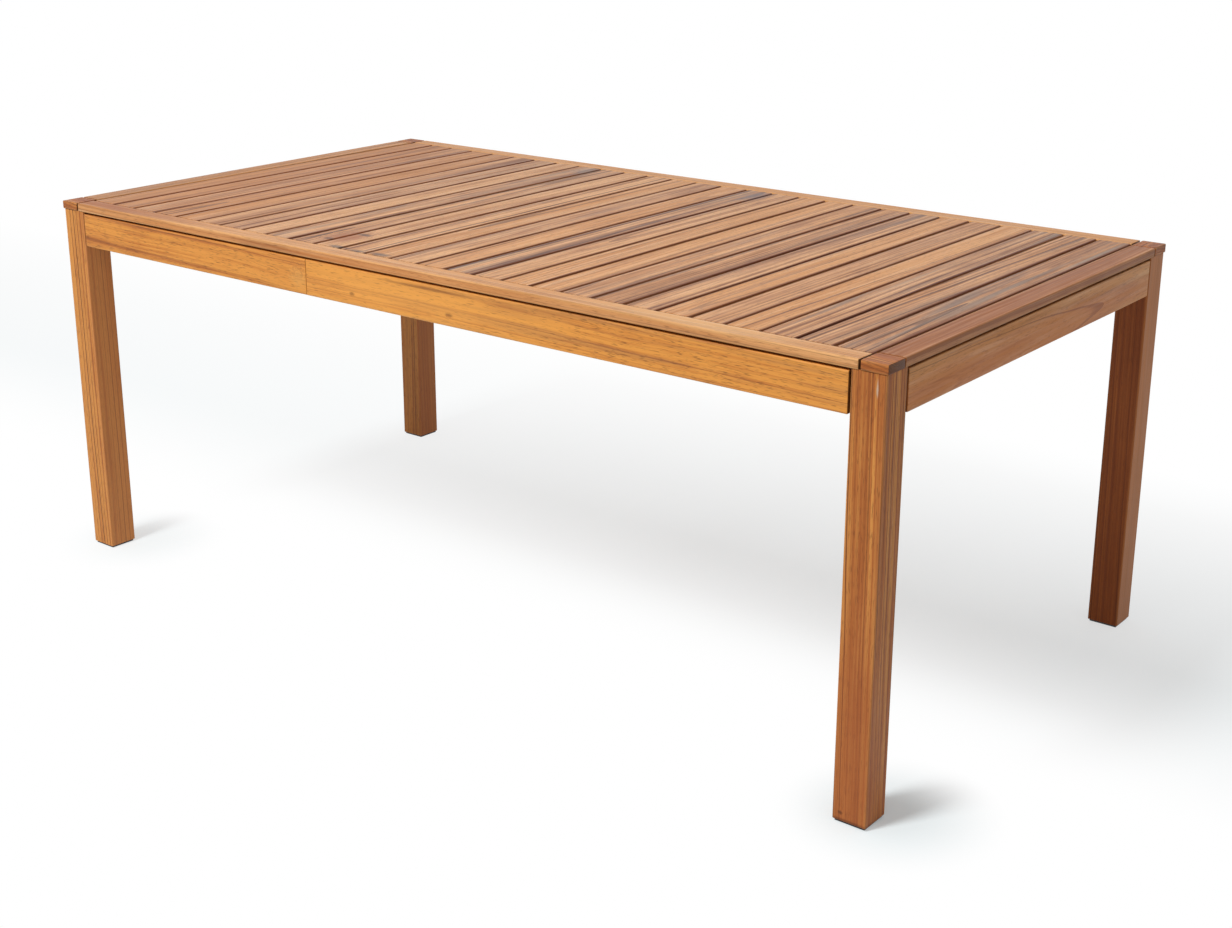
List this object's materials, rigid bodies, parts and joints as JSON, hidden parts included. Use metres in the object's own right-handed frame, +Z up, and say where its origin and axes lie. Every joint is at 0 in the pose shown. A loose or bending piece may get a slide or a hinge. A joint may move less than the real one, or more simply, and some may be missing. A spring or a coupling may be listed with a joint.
{
  "type": "patio dining table",
  "caption": "Rectangular slatted hardwood patio table with square legs, edge rails, end boards and aprons on steel corner braces.",
  "frame": {"origin": "on the floor, under the middle of the table top", "axes": "+X along the table, to the right of someone facing its front; -Y is the front; +Z up"},
  "size_m": [1.9, 1, 0.74],
  "materials": {
    "slat_teak": "oiled, sanded",
    "edge_teak": "oiled, sanded",
    "frame_teak": "oiled, sanded",
    "batten_teak": "oiled, planed",
    "dowel_beech": "plain",
    "foot_plastic": "matte",
    "zinc_steel": "zinc plated"
  },
  "bodies": {
    "root": {"slat_01": "slat_teak", "slat_02": "slat_teak", "slat_03": "slat_teak", "slat_04": "slat_teak", "slat_05": "slat_teak", "slat_06": "slat_teak", "slat_07": "slat_teak", "slat_08": "slat_teak", "slat_09": "slat_teak", "slat_10": "slat_teak", "slat_11": "slat_teak", "slat_12": "slat_teak", "slat_13": "slat_teak", "slat_14": "slat_teak", "slat_15": "slat_teak", "slat_16": "slat_teak", "slat_17": "slat_teak", "slat_18": "slat_teak", "slat_19": "slat_teak", "slat_20": "slat_teak", "slat_21": "slat_teak", "slat_22": "slat_teak", "slat_23": "slat_teak", "slat_24": "slat_teak", "slat_25": "slat_teak", "slat_26": "slat_teak", "slat_27": "slat_teak", "slat_28": "slat_teak", "front_edge_rail": "edge_teak", "back_edge_rail": "edge_teak", "left_end_board": "edge_teak", "right_end_board": "edge_teak", "front_left_corner_block": "edge_teak", "front_left_leg": "frame_teak", "front_right_corner_block": "edge_teak", "front_right_leg": "frame_teak", "back_left_corner_block": "edge_teak", "back_left_leg": "frame_teak", "back_right_corner_block": "edge_teak", "back_right_leg": "frame_teak", "front_apron_left": "frame_teak", "front_apron_right": "frame_teak", "back_apron_left": "frame_teak", "back_apron_right": "frame_teak", "left_end_apron": "frame_teak", "right_end_apron": "frame_teak", "front_cleat": "batten_teak", "back_cleat": "batten_teak", "end_cleats": "batten_teak", "slat_bearer": "batten_teak", "cross_rails": "batten_teak", "apron_splice_blocks": "batten_teak", "foot_pads": "foot_plastic", "corner_braces": "zinc_steel", "hanger_bolts": "zinc_steel", "flange_nuts": "zinc_steel", "short_screws": "zinc_steel", "long_screws": "zinc_steel", "brace_screws": "zinc_steel", "dowels": "dowel_beech"}
  },
  "joints": []
}
